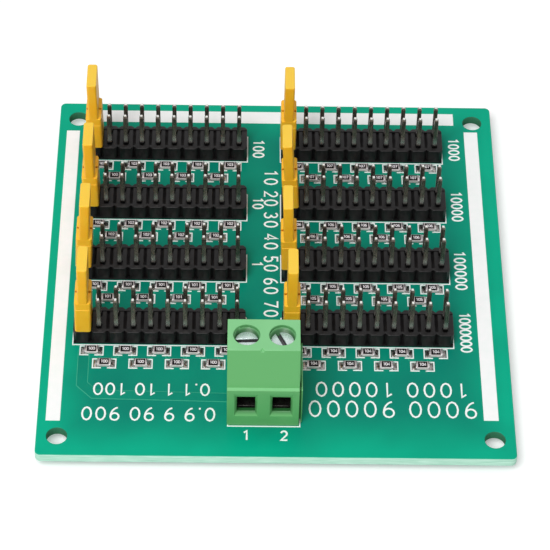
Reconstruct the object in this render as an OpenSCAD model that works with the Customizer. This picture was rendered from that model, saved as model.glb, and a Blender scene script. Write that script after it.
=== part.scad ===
// Programmable resistor board: eight decades of chip resistors in series, each
// with a two-row pin header whose jumper cap picks the digit of that decade.
// Origin: middle of the four mounting holes, on the underside of the board.
// +X runs along the headers, +Y away from the screw terminal, +Z out of the parts side.

/* [Board] */
// Width of the board, along the headers
board_w = 69; // [67:0.5:80]
// Depth of the board, front to back
board_d = 71.5; // [70:0.5:80]
// Thickness of the board
board_t = 1.6; // [1:0.1:2.4]
// Radius of the board's corners
board_corner_r = 0.8; // [0.2:0.1:1.5]
// Side edge to the middle of a mounting hole
hole_inset_x = 3; // [2.2:0.1:4]
// Front or back edge to the middle of a mounting hole
hole_inset_y = 3.5; // [2.2:0.1:4]
// Radius of a mounting hole
mount_hole_r = 1.5; // [1:0.1:1.6]

/* [Header layout] */
// Distance from one pin to the next
pitch = 2.54; // [2.5:0.01:2.6]
// Pins in each row of a header
columns = 10; // [6:1:10]
// Headers in each bank, front to back
rows = 4; // [4:1:4]
// Distance from one header to the one behind it
row_pitch = 12.7; // [11.5:0.1:12.9]
// Gap between the left and the right bank
bank_gap = 5.4; // [4:0.1:6]
// Middle of the two banks and the terminal, from the middle of the board
mid_x = -1.85; // [-2:0.05:0]
// Middle of the banks, front to back, from the middle of the board
mid_y = 6.66; // [6:0.02:7]

/* [Headers] */
// Height of the header's plastic
header_h = 2.54; // [2:0.02:3]
// Bevel at the corner of each cell of the header
cell_bevel = 0.45; // [0.2:0.05:0.6]
// Height of the straight base under the bevelled cells
base_h = 0.3; // [0.2:0.05:0.6]
// Depth of the rim along the front and the back of the header's top
rim_d = 0.85; // [0.6:0.05:0.9]
// Depth of the recess between the two rims
recess_h = 0.1; // [0.04:0.02:0.2]
// Width of the groove between two cells, in that recess
groove_w = 0.38; // [0.2:0.02:0.5]
// Depth of the groove below the recess
groove_h = 0.12; // [0.04:0.02:0.2]
// Width of the channel along the header's underside
channel_w = 0.7; // [0.4:0.1:1.2]
// Height of that channel
channel_h = 0.25; // [0.1:0.05:0.3]
// Thickness of a square pin
pin_w = 0.64; // [0.5:0.02:0.7]
// Height of a pin over the plastic
pin_rise = 6; // [5.5:0.1:6.4]
// Length of a pin or tail below the board
pin_tail = 1.5; // [1.3:0.1:2.5]
// Width of a pin's bevelled tip
pin_tip_w = 0.32; // [0.2:0.02:0.4]
// Length of the bevel at a pin's tip
pin_tip_h = 0.4; // [0.2:0.05:0.6]
// Radius of the drilled hole for a header pin
pin_hole_r = 0.5; // [0.5:0.01:0.6]

/* [Jumper caps] */
// Gap that a cap leaves to one on the next column
cap_gap = 0.14; // [0.04:0.02:0.2]
// Depth of a cap over the two pins
cap_d = 5.1; // [4.9:0.02:5.4]
// Height of a cap's body over its lower edge
cap_body_h = 6.1; // [5.8:0.1:7]
// Height of the handle over the body
handle_h = 7.2; // [4:0.1:10]
// Thickness of the handle
handle_w = 1.52; // [1.4:0.02:2]
// Height of the slightly thicker lower part of a cap
skirt_h = 4.8; // [4:0.1:5.4]
// Step at the top of the lower part, front and back
skirt_step = 0.08; // [0.02:0.02:0.15]
// Radius of the body's upright corners
cap_corner_r = 0.4; // [0.2:0.05:0.5]
// Radius of the handle's upright corners
handle_corner_r = 0.3; // [0.1:0.05:0.5]
// Radius of the mould mark beside the handle
mark_r = 0.2; // [0.1:0.02:0.2]
// Depth of that mark
mark_h = 0.5; // [0.2:0.1:0.6]
// Width of the chamber that holds the spring clip
chamber_w = 1.7; // [1.6:0.02:1.8]
// Depth of that chamber
chamber_d = 4.3; // [4.1:0.05:4.4]
// Height of that chamber
chamber_h = 5.2; // [5:0.1:5.4]
// Width of the pocket for the pin tips
pocket_w = 1.16; // [0.8:0.02:1.2]
// Gap between a pin and the pocket's front or back end
pocket_play = 0.2; // [0.1:0.05:0.3]
// Room over a pin tip
tip_room = 0.3; // [0.1:0.05:0.8]
// Lean of the left bank's caps, front to back
lean_left = [1.5, 2, 1.5, 1]; // [-3.5:0.5:3.5]
// Lean of the right bank's caps, front to back
lean_right = [1.5, -3.5, -3, -1.5]; // [-3.5:0.5:3.5]

/* [Spring clips] */
// Thickness of the clip's sheet
clip_t = 0.2; // [0.12:0.01:0.25]
// Height over the cap's edge at which the clip grips the pins
grip_h = 2.7; // [2.5:0.1:3]
// Half the height of the bow that presses on a pin
bow_h = 2; // [1.6:0.1:2.1]
// Gap that the open clip leaves to a pin
grip_gap = 0.02; // [0.01:0.01:0.06]
// Width of the bridge that joins the clip's leaves
bridge_w = 1.2; // [0.8:0.1:1.4]
// Gap between the clip's edge and the chamber
clip_play = 0.05; // [0.02:0.01:0.1]
// Height of the clip's lower end over the cap's edge
clip_foot = 0.5; // [0.3:0.05:0.6]
// Slit between the fingers of the two pins
slit_w = 0.7; // [0.4:0.1:1]

/* [Chip resistors] */
// Length of a chip resistor
chip_l = 2; // [1.6:0.05:2.4]
// Width of a chip resistor
chip_w = 1.25; // [1:0.05:1.4]
// Height of a chip resistor
chip_h = 0.55; // [0.4:0.05:0.7]
// Length of a chip's metal end
end_l = 0.3; // [0.2:0.05:0.4]
// Thickness of that metal
end_t = 0.05; // [0.03:0.01:0.08]
// Reach of the solder in front of a chip's end
fillet_l = 0.5; // [0.3:0.05:0.7]
// Height of the solder at its outer edge
fillet_toe = 0.05; // [0.02:0.01:0.1]
// Gap from a header's plastic to the first row of chips
chip_gap = 0.72; // [0.4:0.01:1]
// Gap from the first row of chips to the second
chip_row_gap = 1.2; // [0.8:0.01:1.4]
// Distance from chip to chip in the first row of the left bank's headers, front to back
first_pitch_left = [4.98, 4.98, 5.08, 5.03]; // [4.9:0.01:5.1]
// Distance from chip to chip in the first row of the right bank's headers, front to back
first_pitch_right = [5.03, 5.03, 5.08, 5.08]; // [4.9:0.01:5.1]
// Distance from chip to chip in the second row
second_pitch = 5.34; // [5:0.01:5.6]

/* [Screw terminal] */
// Poles of the terminal
poles = 2; // [2:1:2]
// Distance from pole to pole
term_pitch = 5.08; // [5:0.01:5.2]
// Gap from the front headers to the terminal's back
term_gap = 5.37; // [5:0.01:7]
// Depth of the terminal, front to back
term_d = 9.75; // [9.6:0.05:11]
// Height of the terminal
term_h = 13.8; // [13.4:0.1:15]
// Height of the upright front with the wire entries
entry_front_h = 7.85; // [7.4:0.05:8.2]
// Depth of the ledge over the wire entries
ledge_d = 0.5; // [0.3:0.05:0.8]
// Setback of the top face behind the front
top_front = 2.5; // [2:0.05:3]
// Setback of the top face before the back
top_back = 1.45; // [0.5:0.05:1.8]
// Height of the upright part of the back
back_h = 8.6; // [8:0.1:11]
// Extra thickness of the left side wall
side_extra = 0.2; // [0:0.05:0.3]
// Thickness of the tongue on the right side
tongue_t = 0.45; // [0.3:0.05:0.6]
// Thickness of the tongue's head
tongue_head_t = 0.2; // [0.1:0.05:0.3]
// Inset of the tongue's head from the housing's outline
tongue_inset = 0.55; // [0.4:0.05:0.8]
// Inset of the tongue's neck from that of its head
neck_inset = 0.75; // [0.4:0.05:1]
// Depth of the small notch between the poles, in the top front edge
notch_d = 0.35; // [0.2:0.05:0.5]
// Notch to the middle of the terminal
notch_x = -0.3; // [-0.5:0.05:0.5]
// Thickness of the wall in front of the clamp cages
front_wall = 1.15; // [1:0.05:1.4]
// Width of the funnel in front of a wire entry
funnel_w = 3.4; // [3.2:0.05:3.8]
// Height of the wall under a funnel
funnel_floor = 2.1; // [1.6:0.05:2.4]
// Height of the wall between a funnel and the ledge
funnel_roof = 0.95; // [0.6:0.05:1]
// Depth of a funnel
funnel_d = 0.5; // [0.4:0.05:0.8]
// Width of a wire entry
entry_w = 2.6; // [2.2:0.05:2.8]
// Drop from the cage's floor to the wire entry's
entry_drop = 0.3; // [0.1:0.05:0.5]
// Height of the contact bar over the wire entry's roof
entry_lip = 0.1; // [0.05:0.05:0.3]
// Radius of the hole in the board for a terminal's tail
term_hole_r = 0.65; // [0.6:0.01:0.8]

/* [Terminal screws] */
// Radius of a terminal screw's shank
screw_r = 1.45; // [1.2:0.05:1.5]
// Radius of the screw's head
head_r = 1.66; // [1.6:0.02:1.8]
// Height of the screw's head
head_h = 1.3; // [1:0.05:1.4]
// Depth of the head below the housing's top
head_sink = 1.3; // [0.8:0.05:1.5]
// Gap between the head and its well
well_gap = 0.11; // [0.05:0.01:0.2]
// Step at the mouth of the well
well_step = 0.12; // [0.05:0.01:0.2]
// Depth of that step
well_step_h = 0.5; // [0.3:0.05:0.8]
// Width of the slot in the head
slot_w = 0.6; // [0.4:0.05:0.8]
// Depth of the slot
slot_d = 0.7; // [0.4:0.05:0.8]
// Bevel at the screw's lower end
screw_bevel = 0.3; // [0.1:0.05:0.5]
// Thickness of the shoulder under the head
shoulder_t = 0.6; // [0.4:0.05:0.8]
// Turn of each screw's slot from the X axis
slot_turn = [3, -65]; // [-90:1:90]

/* [Clamp cages] */
// Width of a clamp cage
cage_w = 3.4; // [3.2:0.05:3.6]
// Depth of a cage along the wire
cage_d = 3.8; // [3.4:0.05:4]
// Thickness of a cage's side
cage_wall = 0.5; // [0.4:0.05:0.55]
// Thickness of its threaded roof
cage_roof = 1; // [0.8:0.05:1.1]
// Thickness of its floor
cage_floor = 0.8; // [0.5:0.05:1]
// Radius of its outer corners
cage_corner_r = 0.4; // [0.2:0.05:0.5]
// Travel from open to clamped
cage_travel = 2.7; // [2:0.05:2.8]
// Gap left over the cage when it is clamped, and beside it
cage_gap = 0.1; // [0.05:0.01:0.12]
// Gap between the cage's roof and the contact bar when open
roof_gap = 0.15; // [0.1:0.01:0.3]
// Space left for the thinnest wire when clamped
wire_gap = 0.25; // [0.1:0.05:0.4]
// Gap between a screw's shank and the hole that it turns in
thread_gap = 0.05; // [0.02:0.01:0.08]
// Thickness of the contact bar and its tail
bar_t = 0.7; // [0.5:0.05:0.8]
// Width of the contact bar
bar_w = 2.2; // [1.8:0.05:2.3]
// Gap between the contact bar and the housing
bar_gap = 0.05; // [0.02:0.01:0.1]
// Width of the soldered tail
tail_w = 0.9; // [0.6:0.05:1]

/* [Solder under the board] */
// Width of the solder ring round the hole of a pin
solder_ring = 0.28; // [0.2:0.02:0.4]
// Height of the solder cone
solder_h = 0.9; // [0.5:0.05:1.1]
// Thickness of the cone's upper end over the corners of a pin
solder_lip = 0.06; // [0.03:0.01:0.1]

/* [Hidden] */
$fn = 48;
// How far a cutting shape reaches past the faces that it cuts
past = 1;
// Decades, front to back: the left bank, then the right bank
DECADES = ["0r1", "1r", "10r", "100r", "1meg", "100k", "10k", "1k"];
SETS = ["header_", "pins_", "cap_", "clip_", "resistors_", "resistor_ends_"];
POLE_SETS = ["terminal_screw_", "terminal_cage_", "terminal_contact_"];

// Headers
header_w = columns * pitch;
header_d = 2 * pitch;
recess_d = header_d - 2 * rim_d;
groove_floor = header_h - recess_h - groove_h;
cap_top_z = board_t + header_h;
pin_tip_z = cap_top_z + pin_rise;
pin_end_z = -pin_tail;
bank_x = [mid_x - (bank_gap + header_w) / 2, mid_x + (bank_gap + header_w) / 2];
function bank(k) = floor(k / rows);
function first_x(k) = bank_x[bank(k)] - header_w / 2 + pitch / 2;
function row_y(k) = mid_y + (k % rows - (rows - 1) / 2) * row_pitch;
front_edge_y = row_y(0) - header_d / 2;

// Caps: each leans about the place where its clip grips, until an edge meets the header
cap_w = pitch - cap_gap;
upper_d = cap_d - 2 * skirt_step;
seat_gap = 0.03;
function lean(k) = concat(lean_left, lean_right)[k];
function seat_z(k) = cap_top_z + seat_gap + cap_w / 2 * sin(abs(lean(k)));
pocket_d = pitch + pin_w + 2 * pocket_play;
pocket_top = pin_rise + tip_room;

// Clip: a leaf's middle line bows in from the chamber's wall to the pin
leaf_out = (chamber_w - clip_t) / 2;
leaf_bow = leaf_out - (pin_w + clip_t) / 2 - grip_gap;
clip_d = chamber_d - 2 * clip_play;
leaf_steps = 12;
leaf_rise = [for (i = [-leaf_steps / 2:leaf_steps / 2]) grip_h + bow_h * 2 * i / leaf_steps];
leaf_z = concat([clip_foot], leaf_rise, [chamber_h]);
function leaf_x(z) = leaf_out - (abs(z - grip_h) < bow_h ? leaf_bow * (1 + cos(180 * (z - grip_h) / bow_h)) / 2 : 0);

// Chips
first_chip_y = header_d / 2 + chip_gap + chip_w / 2;
second_chip_y = first_chip_y + chip_w + chip_row_gap;
first_chips = floor(columns / 2);
function chip_row(count, step, y) = [for (i = [0:count - 1]) [(i - (count - 1) / 2) * step, y]];
function chip_spots(k) = concat(
    chip_row(first_chips, concat(first_pitch_left, first_pitch_right)[k], -first_chip_y),
    chip_row(first_chips - 1, second_pitch, -second_chip_y));

// Terminal: depths run back from its front face, heights up from the board
term_w = poles * term_pitch;
term_y = front_edge_y - term_gap - term_d;
screw_d = (top_front + term_d - top_back) / 2;
head_bottom = term_h - head_sink - head_h;
chamber_roof = head_bottom - shoulder_t;
cage_top = chamber_roof - cage_gap - cage_travel;
bar_top = cage_top - cage_roof - roof_gap;
bar_bottom = bar_top - bar_t;
cage_inner = bar_bottom - wire_gap - cage_travel;
cage_bottom = cage_inner - cage_floor;
cage_front = screw_d - cage_d / 2;
cage_room_w = cage_w + 2 * cage_gap;
cage_room_front = cage_front - cage_gap;
cage_room_back = screw_d + cage_d / 2 + cage_gap;
tail_d = cage_room_back + bar_t / 2;
entry_low = cage_inner - entry_drop;
entry_high = bar_bottom - entry_lip;
function pole_x(p) = mid_x + (p - (poles - 1) / 2) * term_pitch;

// Places a child at the middle of header k, on the board
module at_header(k) {
    translate([bank_x[bank(k)], row_y(k), board_t])
        children();
}

// Places a child at each pin of a header, seen from the header's middle
module at_pins() {
    for (i = [0:columns - 1])
        for (side = [-1, 1])
            translate([(i - (columns - 1) / 2) * pitch, side * pitch / 2, 0])
                children();
}

// A rectangle with round corners, centred
module round_rect(w, d, r) {
    square([w - 2 * r, d], center = true);
    square([w, d - 2 * r], center = true);
    for (x = [-1, 1])
        for (y = [-1, 1])
            translate([x * (w / 2 - r), y * (d / 2 - r)])
                circle(r);
}

// Draws a profile given as depth and height, w wide about the plane x = 0
module across(w) {
    rotate([90, 0, 90])
        translate([0, 0, -w / 2])
            linear_extrude(w)
                children();
}

// Draws a profile given as width and height, d deep about the plane y = 0
module along(d) {
    rotate([90, 0, 0])
        translate([0, 0, -d / 2])
            linear_extrude(d)
                children();
}

module circuit_board() {
    color([0.02, 0.42, 0.33])
        difference() {
            linear_extrude(board_t)
                round_rect(board_w, board_d, board_corner_r);
            for (x = [-1, 1])
                for (y = [-1, 1])
                    translate([x * (board_w / 2 - hole_inset_x), y * (board_d / 2 - hole_inset_y), -past])
                        cylinder(h = board_t + 2 * past, r = mount_hole_r);
            for (k = [0:len(DECADES) - 1])
                at_header(k)
                    at_pins()
                        translate([0, 0, -board_t - past])
                            cylinder(h = board_t + 2 * past, r = pin_hole_r);
            for (p = [0:poles - 1])
                translate([pole_x(p), term_y + tail_d, -past])
                    cylinder(h = board_t + 2 * past, r = term_hole_r);
        }
}

// Outline of a header: each cell's outer corners are bevelled, as break-off strips are
function header_edge(side) = [for (i = [0:columns - 1]) for (step = [0:2])
    let (x = (i - columns / 2) * pitch)
    [x + (step < 2 ? (step == 0 ? cell_bevel : pitch - cell_bevel) : pitch),
     side * (header_d / 2 - (step == 2 ? cell_bevel : 0))]];
header_outline = concat(
    [[-header_w / 2, cell_bevel - header_d / 2]],
    header_edge(-1),
    [for (i = [3 * columns - 1:-1:0]) header_edge(1)[i]],
    [[-header_w / 2, header_d / 2 - cell_bevel]]);

module header(k) {
    color([0.09, 0.09, 0.1])
        at_header(k)
            difference() {
                union() {
                    linear_extrude(header_h)
                        polygon(header_outline);
                    linear_extrude(base_h)
                        square([header_w, header_d], center = true);
                }
                at_pins()
                    translate([-pin_w / 2, -pin_w / 2, -past])
                        cube([pin_w, pin_w, header_h + 2 * past]);
                translate([-header_w / 2 - past, rim_d - header_d / 2, header_h - recess_h])
                    cube([header_w + 2 * past, recess_d, recess_h + past]);
                for (i = [1:columns - 1])
                    translate([(i - columns / 2) * pitch - groove_w / 2, rim_d - header_d / 2, groove_floor])
                        cube([groove_w, recess_d, recess_h + groove_h + past]);
                translate([-header_w / 2 - past, -channel_w / 2, -past])
                    cube([header_w + 2 * past, channel_w, past + channel_h]);
            }
}

// Side view of a square pin with bevelled tips, from the board's top face
pin_outline = [
    [-pin_tip_w / 2, pin_end_z - board_t], [pin_tip_w / 2, pin_end_z - board_t],
    [pin_w / 2, pin_end_z - board_t + pin_tip_h], [pin_w / 2, pin_tip_z - board_t - pin_tip_h],
    [pin_tip_w / 2, pin_tip_z - board_t], [-pin_tip_w / 2, pin_tip_z - board_t],
    [-pin_w / 2, pin_tip_z - board_t - pin_tip_h], [-pin_w / 2, pin_end_z - board_t + pin_tip_h]];

// All the pins of a header: the columns seen from the front, crossed with the rows seen from the side
module pins(k) {
    color([0.8, 0.79, 0.75])
        at_header(k)
            intersection() {
                along(header_d)
                    for (i = [0:columns - 1])
                        translate([(i - (columns - 1) / 2) * pitch, 0])
                            polygon(pin_outline);
                across(header_w)
                    for (side = [-1, 1])
                        translate([side * pitch / 2, 0])
                            polygon(pin_outline);
            }
}

// Stands a cap on the first column of header k, leaning about its grip on the pins
module at_cap(k) {
    translate([first_x(k), row_y(k), seat_z(k) + grip_h])
        rotate([0, lean(k), 0])
            translate([0, 0, -grip_h])
                children();
}

module cap(k) {
    color([0.98, 0.72, 0.06])
        at_cap(k)
            difference() {
                union() {
                    linear_extrude(skirt_h)
                        round_rect(cap_w, cap_d, cap_corner_r);
                    linear_extrude(cap_body_h)
                        round_rect(cap_w, upper_d, cap_corner_r);
                    linear_extrude(cap_body_h + handle_h)
                        round_rect(handle_w, upper_d, handle_corner_r);
                }
                translate([-chamber_w / 2, -chamber_d / 2, -past])
                    cube([chamber_w, chamber_d, past + chamber_h]);
                translate([-pocket_w / 2, -pocket_d / 2, 0])
                    cube([pocket_w, pocket_d, pocket_top]);
                for (x = [-1, 1])
                    translate([x * (cap_w + handle_w) / 4, 0, cap_body_h - mark_h])
                        cylinder(h = mark_h + past, r = mark_r);
            }
}

module clip(k) {
    color([0.84, 0.72, 0.45])
        at_cap(k)
            union() {
                difference() {
                    along(clip_d)
                        for (side = [-1, 1])
                            polygon(concat(
                                [for (z = leaf_z) [side * (leaf_x(z) - clip_t / 2), z]],
                                [for (i = [len(leaf_z) - 1:-1:0])
                                    [side * (leaf_x(leaf_z[i]) + clip_t / 2), leaf_z[i]]]));
                    translate([-chamber_w, -slit_w / 2, 0])
                        cube([2 * chamber_w, slit_w, grip_h + bow_h]);
                }
                translate([-chamber_w / 2, -bridge_w / 2, chamber_h - clip_t])
                    cube([chamber_w, bridge_w, clip_t]);
            }
}

// Side view of a chip: a ceramic core with the dark film between the metal ends
chip_core = [
    [-chip_l / 2 + end_t, end_t], [chip_l / 2 - end_t, end_t],
    [chip_l / 2 - end_t, chip_h - end_t], [chip_l / 2 - end_l, chip_h - end_t],
    [chip_l / 2 - end_l, chip_h], [-chip_l / 2 + end_l, chip_h],
    [-chip_l / 2 + end_l, chip_h - end_t], [-chip_l / 2 + end_t, chip_h - end_t]];

module resistors(k) {
    color([0.07, 0.07, 0.08])
        at_header(k)
            for (spot = chip_spots(k))
                translate([spot[0], spot[1], 0])
                    along(chip_w)
                        polygon(chip_core);
}

module resistor_ends(k) {
    color([0.85, 0.85, 0.84])
        at_header(k)
            for (spot = chip_spots(k))
                translate([spot[0], spot[1], 0])
                    along(chip_w)
                        for (side = [-1, 1])
                            scale([side, 1])
                                difference() {
                                    translate([chip_l / 2 - end_l, 0])
                                        square([end_l, chip_h]);
                                    translate([0, end_t])
                                        square([chip_l / 2 - end_t, chip_h - 2 * end_t]);
                                }
}

// Side view of the hollow solder fillet at a chip's end
fillet_steps = 4;
fillet_outline = concat(
    [[chip_l / 2, 0], [chip_l / 2 + fillet_l, 0]],
    [for (i = [0:fillet_steps])
        let (turn = 90 * i / fillet_steps)
        [chip_l / 2 + fillet_l * (1 - sin(turn)), fillet_toe + (chip_h - end_t - fillet_toe) * (1 - cos(turn))]]);

module resistor_solder() {
    color([0.8, 0.8, 0.79])
        for (k = [0:len(DECADES) - 1])
            at_header(k)
                for (spot = chip_spots(k))
                    for (side = [0, 180])
                        translate([spot[0], spot[1], 0])
                            rotate([0, 0, side])
                                along(chip_w)
                                    polygon(fillet_outline);
}

// A cone of solder round a tail w by d, in a hole of radius hole_r, hanging below the board
module solder_cone(hole_r, w, d) {
    translate([0, 0, -solder_h])
        difference() {
            cylinder(h = solder_h, r1 = norm([w, d]) / 2 + solder_lip, r2 = hole_r + solder_ring);
            translate([-w / 2, -d / 2, -past])
                cube([w, d, solder_h + 2 * past]);
        }
}

module pin_solder() {
    color([0.8, 0.8, 0.79]) {
        for (k = [0:len(DECADES) - 1])
            translate([0, 0, -board_t])
                at_header(k)
                    at_pins()
                        solder_cone(pin_hole_r, pin_w, pin_w);
        for (p = [0:poles - 1])
            translate([pole_x(p), term_y + tail_d, 0])
                solder_cone(term_hole_r, tail_w, bar_t);
    }
}

// Side view of the terminal's housing
function housing_outline(inset) = [
    [inset, 0], [inset, entry_front_h - inset], [inset + ledge_d, entry_front_h - inset],
    [top_front + inset, term_h - inset], [term_d - top_back - inset, term_h - inset],
    [term_d - inset, back_h - inset], [term_d - inset, 0]];

// Funnel and wire entry of one pole: plan view crossed with side view
module wire_entry() {
    entry_end = front_wall + past;
    mouth_grow = past / funnel_d;
    mouth_w = funnel_w + mouth_grow * (funnel_w - entry_w);
    mouth_low = funnel_floor - mouth_grow * (entry_low - funnel_floor);
    mouth_high = entry_front_h - funnel_roof + mouth_grow * (entry_front_h - funnel_roof - entry_high);
    intersection() {
        linear_extrude(term_h)
            polygon([
                [-mouth_w / 2, -past], [mouth_w / 2, -past], [entry_w / 2, funnel_d],
                [entry_w / 2, entry_end], [-entry_w / 2, entry_end],
                [-entry_w / 2, funnel_d]]);
        across(2 * mouth_w)
            polygon([
                [-past, mouth_low], [funnel_d, entry_low], [entry_end, entry_low],
                [entry_end, entry_high], [funnel_d, entry_high], [-past, mouth_high]]);
    }
}

module terminal_housing() {
    color([0.42, 0.72, 0.42])
        translate([mid_x, term_y, board_t])
            difference() {
                union() {
                    translate([-side_extra / 2, 0, 0])
                        across(term_w + side_extra)
                            polygon(housing_outline(0));
                    translate([(term_w + tongue_t) / 2, 0, 0])
                        across(tongue_t)
                            polygon(housing_outline(tongue_inset + neck_inset));
                    translate([term_w / 2 + tongue_t - tongue_head_t / 2, 0, 0])
                        across(tongue_head_t)
                            polygon(housing_outline(tongue_inset));
                }
                translate([notch_x, top_front, term_h])
                    rotate([45, 0, 0])
                        rotate([0, 45, 0])
                            cube(notch_d * sqrt(2), center = true);
                for (p = [0:poles - 1])
                    translate([pole_x(p) - mid_x, 0, 0]) {
                        wire_entry();
                        translate([0, screw_d, head_bottom])
                            cylinder(h = term_h, r = head_r + well_gap);
                        translate([0, screw_d, term_h - well_step_h])
                            cylinder(h = term_h, r = head_r + well_gap + well_step);
                        translate([0, screw_d, chamber_roof - past])
                            cylinder(h = term_h, r = screw_r + thread_gap);
                        translate([-cage_room_w / 2, cage_room_front, -past])
                            cube([cage_room_w, cage_room_back - cage_room_front, chamber_roof + past]);
                        translate([-cage_room_w / 2, front_wall, -past])
                            cube([cage_room_w, cage_room_front - front_wall + past, bar_top + past]);
                        translate([-bar_w / 2 - bar_gap, cage_room_back - past, -past])
                            cube([bar_w + 2 * bar_gap, past + bar_t + bar_gap, bar_top + bar_gap + past]);
                    }
            }
}

module terminal_screw(p) {
    shank_l = head_bottom - bar_top - bar_gap;
    color([0.78, 0.78, 0.8])
        translate([pole_x(p), term_y + screw_d, board_t + head_bottom])
            difference() {
                union() {
                    cylinder(h = head_h, r = head_r);
                    translate([0, 0, -shank_l])
                        cylinder(h = screw_bevel, r1 = screw_r - screw_bevel, r2 = screw_r);
                    translate([0, 0, screw_bevel - shank_l])
                        cylinder(h = shank_l - screw_bevel, r = screw_r);
                }
                rotate([0, 0, slot_turn[p]])
                    translate([-head_r - past, -slot_w / 2, head_h - slot_d])
                        cube([2 * (head_r + past), slot_w, slot_d + past]);
            }
}

module terminal_cage(p) {
    cage_h = cage_top - cage_bottom;
    lip_w = cage_w - 2 * cage_corner_r;
    lip_front = front_wall + cage_gap - screw_d;
    color([0.74, 0.74, 0.76])
        translate([pole_x(p), term_y + screw_d, board_t + cage_bottom])
            difference() {
                union() {
                    along(cage_d)
                        translate([0, cage_h / 2])
                            round_rect(cage_w, cage_h, cage_corner_r);
                    translate([-lip_w / 2, lip_front, 0])
                        cube([lip_w, -lip_front, cage_floor]);
                }
                translate([cage_wall - cage_w / 2, -cage_d / 2 - past, cage_floor])
                    cube([cage_w - 2 * cage_wall, cage_d + 2 * past, cage_h - cage_floor - cage_roof]);
                translate([0, 0, cage_floor])
                    cylinder(h = cage_h, r = screw_r + thread_gap);
            }
}

module terminal_contact(p) {
    bar_front = cage_room_front + bar_gap;
    color([0.8, 0.77, 0.68])
        translate([pole_x(p), term_y, board_t])
            union() {
                translate([-bar_w / 2, bar_front, bar_bottom])
                    cube([bar_w, cage_room_back + bar_t - bar_front, bar_t]);
                translate([-bar_w / 2, cage_room_back, 0])
                    cube([bar_w, bar_t, bar_top]);
                translate([-tail_w / 2, cage_room_back, pin_end_z - board_t])
                    cube([tail_w, bar_t, bar_top - pin_end_z + board_t]);
            }
}

circuit_board();
for (k = [0:len(DECADES) - 1]) {
    header(k);
    pins(k);
    cap(k);
    clip(k);
    resistors(k);
    resistor_ends(k);
}
resistor_solder();
pin_solder();
terminal_housing();
for (p = [0:poles - 1]) {
    terminal_screw(p);
    terminal_cage(p);
    terminal_contact(p);
}
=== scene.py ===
import math

import bmesh
import bpy
import numpy as np
from mathutils import Matrix, Vector


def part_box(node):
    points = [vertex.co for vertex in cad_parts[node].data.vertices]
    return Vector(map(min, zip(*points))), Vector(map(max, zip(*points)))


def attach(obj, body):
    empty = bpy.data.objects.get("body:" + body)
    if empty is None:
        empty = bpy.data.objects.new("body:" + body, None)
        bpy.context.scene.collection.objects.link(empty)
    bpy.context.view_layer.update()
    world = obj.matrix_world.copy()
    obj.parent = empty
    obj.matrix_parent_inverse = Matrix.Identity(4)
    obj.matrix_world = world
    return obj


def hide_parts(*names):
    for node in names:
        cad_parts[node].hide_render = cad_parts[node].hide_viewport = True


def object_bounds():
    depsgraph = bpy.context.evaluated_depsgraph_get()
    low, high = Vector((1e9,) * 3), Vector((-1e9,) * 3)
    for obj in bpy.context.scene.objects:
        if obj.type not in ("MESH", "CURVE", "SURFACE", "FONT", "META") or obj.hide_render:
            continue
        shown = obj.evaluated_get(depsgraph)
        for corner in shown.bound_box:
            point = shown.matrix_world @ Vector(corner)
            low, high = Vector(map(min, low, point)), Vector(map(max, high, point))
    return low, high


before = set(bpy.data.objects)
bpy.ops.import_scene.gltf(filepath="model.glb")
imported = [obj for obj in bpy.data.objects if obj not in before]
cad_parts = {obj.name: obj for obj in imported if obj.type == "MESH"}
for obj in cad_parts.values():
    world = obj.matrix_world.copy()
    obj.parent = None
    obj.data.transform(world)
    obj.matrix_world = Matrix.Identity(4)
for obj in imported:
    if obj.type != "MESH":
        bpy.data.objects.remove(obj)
cad_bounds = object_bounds()

# Circuit board: 1.6 mm of glass cloth in epoxy, sawn to size with pale edges and drilled for the pins, the
# terminal's tails and four mounting screws. Both faces are coated with glossy green solder mask.
MM = 0.001
MASK_LIT_EDGE = (8, 174, 138)
MASK_HALF_SHADE = (8, 151, 122)
MASK_SHADED_GREEN = (8, 130, 110)
LAMINATE_PALE = (206, 246, 228)
LAMINATE_DARK = (166, 220, 196)
HOLE_GREEN = (66, 132, 100)
LIT_RIM = 1.2
FULL_SHADE_IN = 8
SAWN_IN = 0.3
BOARD_ROUND = 0.12
SHARP_DEG = 35
FLAT_DEG = 1
OUTER_X = 29.8
OUTER_Y = 35


def box_mm(node):
    """Lowest and highest corner of a solid, in millimetres."""
    low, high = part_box(node)
    return np.array(low) / MM, np.array(high) / MM


def shade(colour):
    """A colour written as it looks on a screen, 0 to 255, turned into the light it sends back."""
    part = np.array(colour) / 255
    return [*np.where(part < 0.04045, part / 12.92, ((part + 0.055) / 1.055) ** 2.4), 1]


def new_finish(name, roughness, metallic=0.0, specular=0.5):
    """Starts a finish; what is even all over stands on the shader's own sockets."""
    finish = bpy.data.materials.new(name)
    finish.use_nodes = True
    shader = finish.node_tree.nodes["Principled BSDF"]
    shader.inputs["Roughness"].default_value = roughness
    shader.inputs["Metallic"].default_value = metallic
    shader.inputs["Specular IOR Level"].default_value = specular
    return finish, shader


def feed(finish, socket, value):
    """Links a socket to another one, or sets it to a number or colour."""
    if isinstance(value, bpy.types.NodeSocket):
        finish.node_tree.links.new(value, socket)
    else:
        socket.default_value = value


def add(finish, kind, settings=None, **inputs):
    """Adds a node of a kind to a finish, with its settings and what feeds its sockets."""
    node = finish.node_tree.nodes.new("ShaderNode" + kind)
    for key, value in (settings or {}).items():
        setattr(node, key, value)
    for key, value in inputs.items():
        feed(finish, node.inputs[key.replace("_", " ")], value)
    return node


def cloud(finish, size, detail=2.0, stretch=(1, 1, 1)):
    """Soft noise, 0 to 1, in patches about size millimetres wide, drawn out along the axes by stretch."""
    place = add(finish, "TexCoord").outputs["Object"]
    place = add(finish, "Mapping", Vector=place, Scale=[1 / part for part in stretch]).outputs[0]
    return add(finish, "TexNoise", Vector=place, Scale=1 / (size * MM), Detail=detail).outputs[0]


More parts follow.
